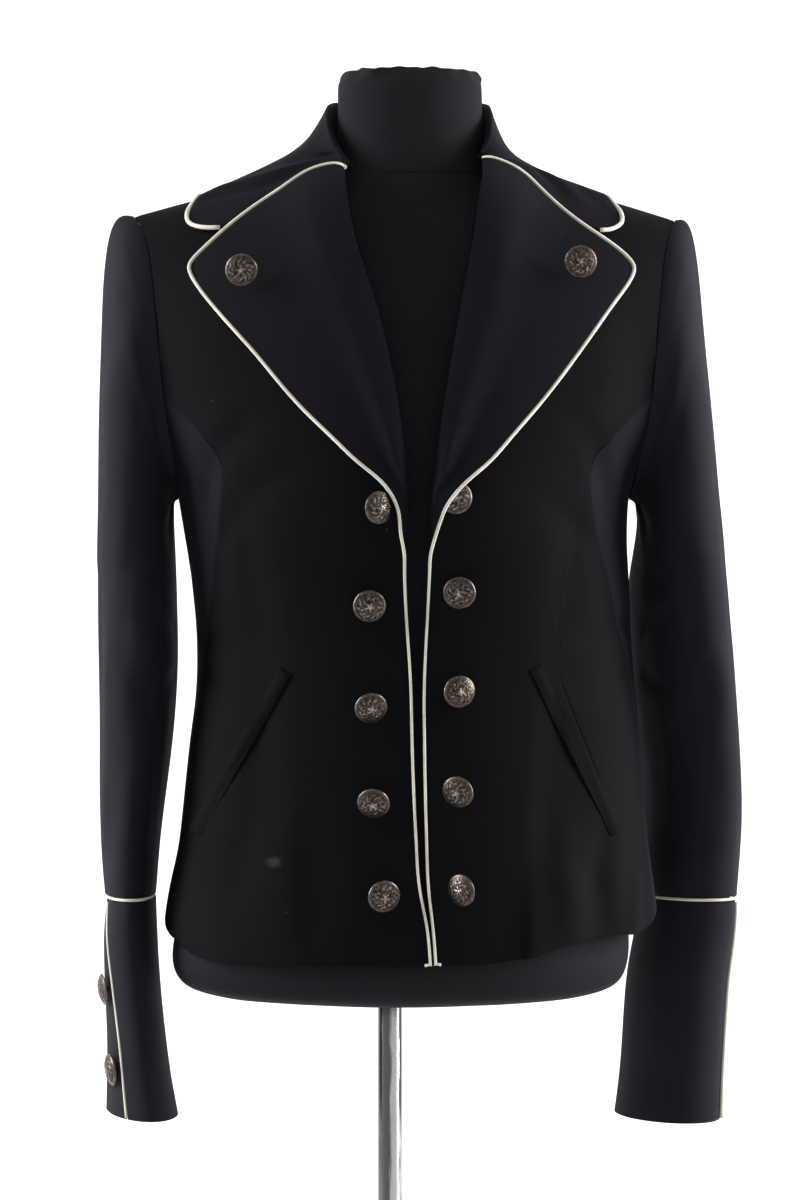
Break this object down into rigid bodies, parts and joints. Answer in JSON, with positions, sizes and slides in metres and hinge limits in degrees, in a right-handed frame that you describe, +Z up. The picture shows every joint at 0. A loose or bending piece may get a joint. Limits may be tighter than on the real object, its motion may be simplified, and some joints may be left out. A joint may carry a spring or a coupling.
{
  "type": "blazer on a limbless dress form with a stand",
  "caption": "Short tailored blazer with piped collar, lapels and deep cuffs, worn open on a limbless dress form that stands on a pole and round base.",
  "frame": {"origin": "centre of the round base's underside, on the floor and on the pole's axis", "axes": "+Z up along the pole, -Y the way the blazer faces, +X to the wearer's left"},
  "size_m": [0.4871, 0.3, 1.062],
  "materials": {
    "wool": "black fine-ribbed wool twill, matt with a faint cool sheen",
    "piping": "cream cotton piping",
    "buttons": "antique brass, embossed, dark in the recesses",
    "form_cover": "black stretch jersey pulled smooth",
    "stand": "polished chromed steel"
  },
  "bodies": {
    "root": {"front_left": "wool", "side_left": "wool", "back_left": "wool", "lapel_left": "wool", "upper_sleeve_left": "wool", "under_sleeve_left": "wool", "cuff_left": "wool", "pocket_welt_left": "wool", "front_right": "wool", "side_right": "wool", "back_right": "wool", "lapel_right": "wool", "upper_sleeve_right": "wool", "under_sleeve_right": "wool", "cuff_right": "wool", "pocket_welt_right": "wool", "collar": "wool", "piping_front_left": "piping", "piping_cuff_seam_left": "piping", "piping_cuff_slit_left": "piping", "piping_front_right": "piping", "piping_cuff_seam_right": "piping", "piping_cuff_slit_right": "piping", "piping_collar": "piping", "button_lapel_left_1": "buttons", "button_front_left_1": "buttons", "button_front_left_2": "buttons", "button_front_left_3": "buttons", "button_front_left_4": "buttons", "button_front_left_5": "buttons", "button_cuff_left_1": "buttons", "button_cuff_left_2": "buttons", "button_lapel_right_1": "buttons", "button_front_right_1": "buttons", "button_front_right_2": "buttons", "button_front_right_3": "buttons", "button_front_right_4": "buttons", "button_front_right_5": "buttons", "button_cuff_right_1": "buttons", "button_cuff_right_2": "buttons", "dress_form": "form_cover", "pole": "stand", "base": "stand", "base_socket": "stand"}
  },
  "joints": []
}
